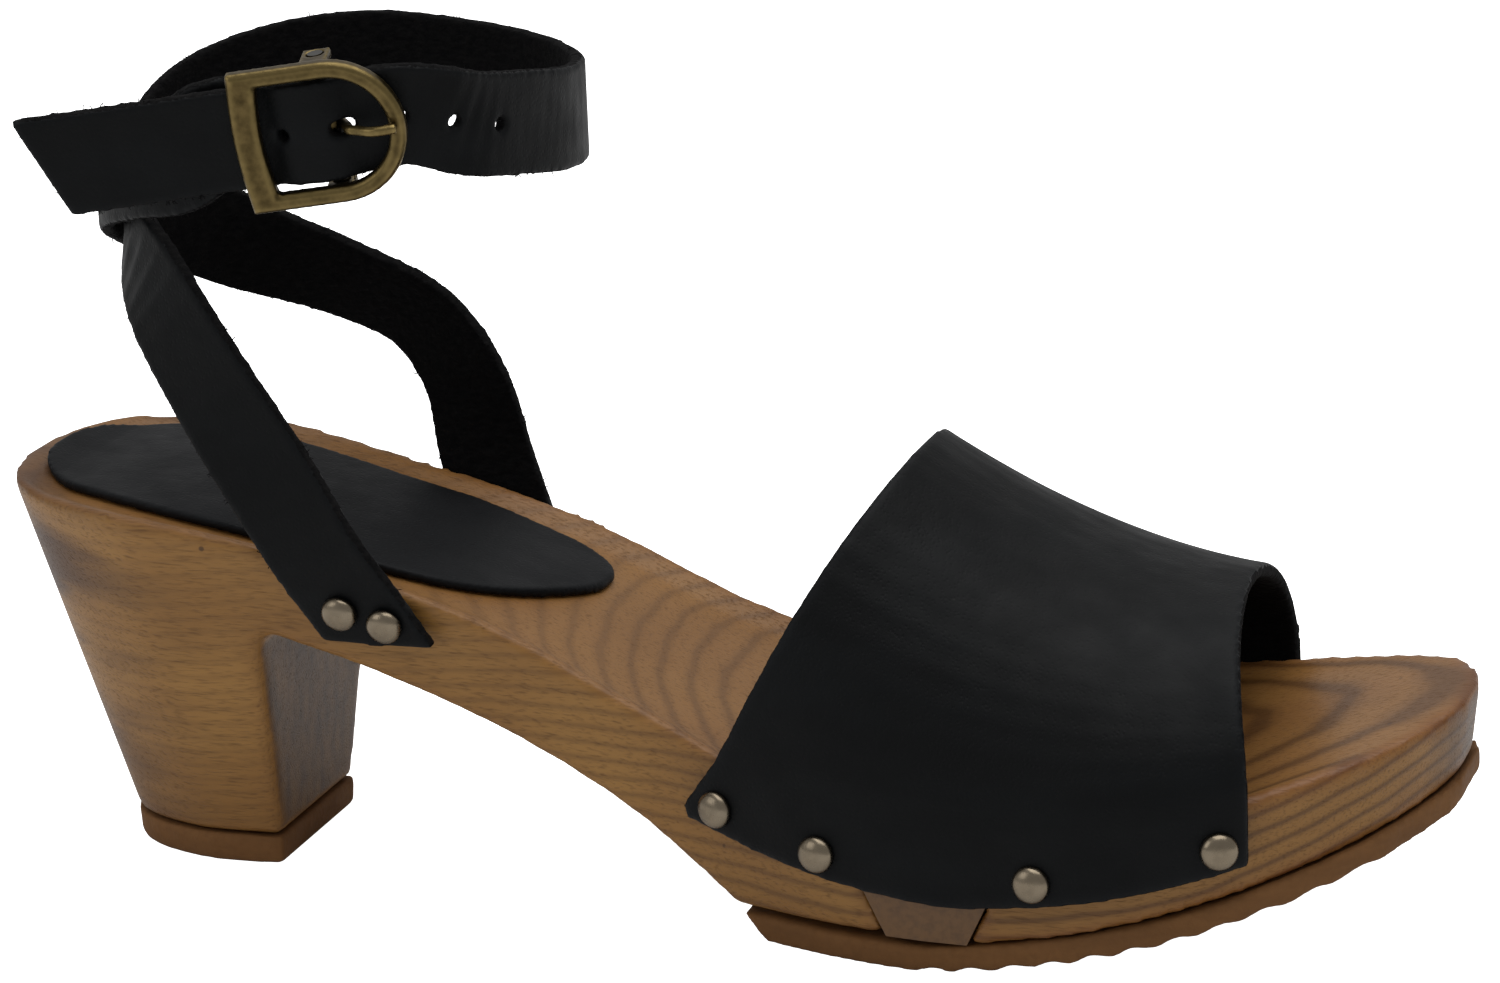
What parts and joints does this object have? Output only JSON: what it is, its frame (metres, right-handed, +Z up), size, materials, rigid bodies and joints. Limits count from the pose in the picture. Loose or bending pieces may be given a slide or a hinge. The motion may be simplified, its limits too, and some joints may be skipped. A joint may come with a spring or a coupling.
{
  "type": "wooden clog",
  "caption": "Open-toe wooden clog for the right foot with a block heel, a nailed leather vamp and an ankle strap with a buckle.",
  "frame": {"origin": "under the middle of the whole clog's box, on the surface that it stands on", "axes": "+X from the heel towards the toe, +Y towards the inner (medial) side of the foot, +Z up"},
  "size_m": [0.2368, 0.0961, 0.1379],
  "materials": {
    "sole_wood": "oiled light brown wood with fine flecked grain, satin",
    "key_wood": "darker brown wood, satin",
    "rubber": "matt tan-brown sheet rubber",
    "pad_leather": "smooth black leather, semi-matt",
    "vamp_leather": "black leather with a waxed grain side and a rough flesh side",
    "strap_leather": "black strap leather with cut edges and a rough flesh side",
    "nail_metal": "antique brass, darkened and softly polished",
    "buckle_metal": "antique brass, brushed, with darker hollows",
    "steel": "plain steel wire"
  },
  "bodies": {
    "clog": {"sole_body": "sole_wood", "sole_key": "key_wood", "outsole": "rubber", "heel_tip": "rubber", "heel_tip_pin_1": "steel", "heel_tip_pin_2": "steel", "heel_tip_pin_3": "steel", "insole_pad": "pad_leather", "vamp": "vamp_leather", "vamp_nail_lateral_1": "nail_metal", "vamp_nail_lateral_2": "nail_metal", "vamp_nail_lateral_3": "nail_metal", "vamp_nail_lateral_4": "nail_metal", "vamp_nail_medial_1": "nail_metal", "vamp_nail_medial_2": "nail_metal", "vamp_nail_medial_3": "nail_metal", "vamp_nail_medial_4": "nail_metal", "long_strap": "strap_leather", "buckle_strap": "strap_leather", "strap_nail_lateral_1": "nail_metal", "strap_nail_lateral_2": "nail_metal", "strap_nail_medial_1": "nail_metal", "strap_nail_medial_2": "nail_metal", "buckle_strap_rivet": "nail_metal"},
    "buckle": {"buckle_frame": "buckle_metal", "buckle_bar": "steel"},
    "prong": {"buckle_prong": "buckle_metal"}
  },
  "joints": [
    {"name": "buckle_tilt", "type": "hinge", "parent": "clog", "child": "buckle", "pos_m": [-0.048, -0.03209, 0.1266], "axis": [0.0821, 0.1795, -0.9803], "range_deg": [-1, 1]},
    {"name": "prong_lift", "type": "hinge", "parent": "buckle", "child": "prong", "pos_m": [-0.048, -0.03209, 0.1266], "axis": [0.0821, 0.1795, -0.9803], "range_deg": [0, 20]}
  ]
}
